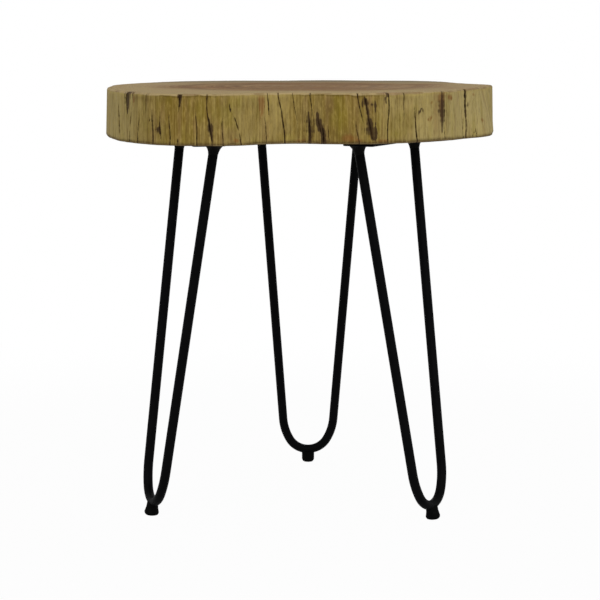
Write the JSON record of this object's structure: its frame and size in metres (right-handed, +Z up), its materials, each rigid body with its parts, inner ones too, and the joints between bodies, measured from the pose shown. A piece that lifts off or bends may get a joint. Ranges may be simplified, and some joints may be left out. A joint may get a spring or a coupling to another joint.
{
  "type": "live edge side table",
  "caption": "Low side table: a thick round-lobed live edge wood slab on splayed black hairpin rod legs with plates, welds, screws and small flared rubber feet.",
  "frame": {"origin": "on the floor under the middle of the slab's outline", "axes": "+Z up, -Y towards the viewer's side that the picture shows, +X to that viewer's right"},
  "size_m": [0.4158, 0.4043, 0.45],
  "materials": {
    "slab_wood": "thin satin oil over ochre sapwood and brown heartwood, with dark drying checks",
    "black_steel": "satin black powder coat",
    "black_weld": "satin black powder coat over a rippled weld bead",
    "black_screw": "black phosphate",
    "bare_steel": "plain turned steel, hidden in the foot",
    "black_rubber": "matt moulded black rubber"
  },
  "bodies": {
    "root": {"slab": "slab_wood", "left_mounting_plate": "black_steel", "left_plate_screws": "black_screw", "left_hairpin_rod": "black_steel", "left_plate_welds": "black_weld", "left_foot_stud": "bare_steel", "left_foot_weld": "bare_steel", "left_rubber_foot": "black_rubber", "back_mounting_plate": "black_steel", "back_plate_screws": "black_screw", "back_hairpin_rod": "black_steel", "back_plate_welds": "black_weld", "back_foot_stud": "bare_steel", "back_foot_weld": "bare_steel", "back_rubber_foot": "black_rubber", "right_mounting_plate": "black_steel", "right_plate_screws": "black_screw", "right_hairpin_rod": "black_steel", "right_plate_welds": "black_weld", "right_foot_stud": "bare_steel", "right_foot_weld": "bare_steel", "right_rubber_foot": "black_rubber"}
  },
  "joints": []
}
